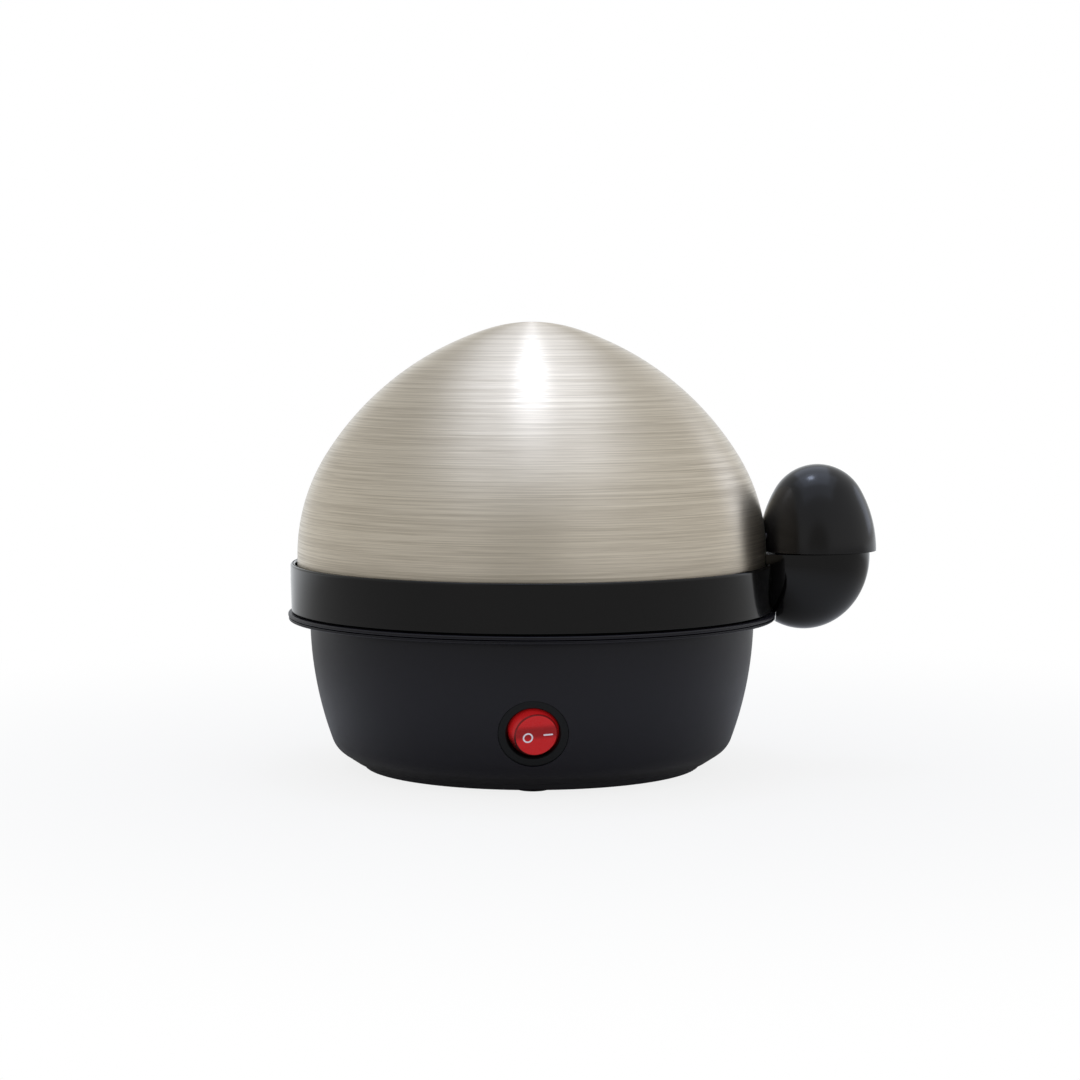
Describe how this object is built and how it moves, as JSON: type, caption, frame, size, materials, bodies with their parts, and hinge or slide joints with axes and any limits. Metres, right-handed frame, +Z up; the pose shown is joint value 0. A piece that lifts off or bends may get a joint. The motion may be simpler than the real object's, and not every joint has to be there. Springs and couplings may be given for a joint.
{
  "type": "electric egg cooker",
  "caption": "Countertop egg steamer: round black base with a red rocker switch, steel dome lid, egg rack and half-egg side handles.",
  "frame": {"origin": "on the table, at the centre of the bounding box's footprint; the round body's axis stands 17.65 mm towards -X from it", "axes": "+X from the round body towards the half-egg handles, -Y the front with the switch, +Z up"},
  "size_m": [0.2054, 0.17, 0.1555],
  "materials": {
    "housing_plastic": "satin black moulding",
    "collar_plastic": "polished black moulding",
    "rack_plastic": "satin black moulding",
    "brushed_lid_steel": "brushed round the axis",
    "plate_steel": "plain pressed stainless sheet",
    "fastener_steel": "bright zinc plated",
    "foot_rubber": "matt black",
    "silicone": "translucent grey silicone",
    "spreader_aluminium": "mill finish",
    "element_sheath": "drawn tube",
    "bead_ceramic": "unglazed",
    "terminal_brass": "stamped",
    "thermostat_body": "brown phenolic",
    "fuse_case": "tinned case and leads",
    "block_nylon": "natural nylon",
    "brown_insulation": "silicone rubber sleeve",
    "blue_insulation": "silicone rubber sleeve",
    "earth_insulation": "silicone rubber sleeve",
    "gland_plastic": "soft black moulding",
    "switch_plastic": "fine textured black",
    "lamp_glass": "clear bulb",
    "red_lens": "translucent red",
    "white_print": "pad printed white"
  },
  "bodies": {
    "base": {"base_housing": "housing_plastic", "base_deck": "housing_plastic", "bottom_cover": "housing_plastic", "rubber_feet": "foot_rubber", "cover_screws": "fastener_steel", "heating_plate": "plate_steel", "plate_gasket": "silicone", "plate_studs": "fastener_steel", "clamp_ring": "fastener_steel", "clamp_nuts": "fastener_steel", "heat_spreader": "spreader_aluminium", "heating_element": "element_sheath", "element_insulators": "bead_ceramic", "element_terminals": "terminal_brass", "thermostat": "thermostat_body", "thermostat_bracket": "fastener_steel", "thermostat_screws": "fastener_steel", "thermal_fuse": "fuse_case", "earth_tab": "terminal_brass", "earth_rivet": "fastener_steel", "terminal_block": "block_nylon", "terminal_screws": "fastener_steel", "block_screw": "fastener_steel", "live_wire": "brown_insulation", "switched_wire": "brown_insulation", "lamp_wire": "blue_insulation", "neutral_wire": "blue_insulation", "earth_wire": "earth_insulation", "cord_gland": "gland_plastic", "switch_body": "switch_plastic", "switch_terminals": "terminal_brass", "neon_lamp": "lamp_glass"},
    "rocker": {"rocker": "red_lens", "rocker_marks": "white_print", "plunger": "terminal_brass", "plunger_spring": "fastener_steel"},
    "contact_lever": {"contact_lever": "terminal_brass"},
    "collar": {"steam_collar": "collar_plastic", "collar_handle": "collar_plastic", "collar_handle_cap": "collar_plastic", "collar_handle_screws": "fastener_steel"},
    "rack": {"egg_rack": "rack_plastic"},
    "lid": {"lid_dome": "brushed_lid_steel", "lid_handle": "collar_plastic", "lid_handle_screws": "fastener_steel", "lid_handle_washers": "silicone"}
  },
  "joints": [
    {"name": "collar_lift", "type": "slide", "parent": "base", "child": "collar", "axis": [0, 0, 1], "range_m": [0, 0.08]},
    {"name": "rack_lift", "type": "slide", "parent": "collar", "child": "rack", "axis": [0, 0, 1], "range_m": [0, 0.014]},
    {"name": "lid_lift", "type": "slide", "parent": "collar", "child": "lid", "axis": [0, 0, 1], "range_m": [0, 0.12]},
    {"name": "power_rocker", "type": "hinge", "parent": "base", "child": "rocker", "pos_m": [-0.01765, -0.06919, 0.02267], "axis": [0, -0.2556, 0.9668], "range_deg": [-24, 0]},
    {"name": "contact_tip", "type": "hinge", "parent": "base", "child": "contact_lever", "pos_m": [-0.01765, -0.06333, 0.02422], "axis": [0, -0.2556, 0.9668], "range_deg": [0, 17.2]}
  ],
  "couplings": [
    {"joint": "contact_tip", "follows": "power_rocker", "ratio": -0.71667}
  ]
}
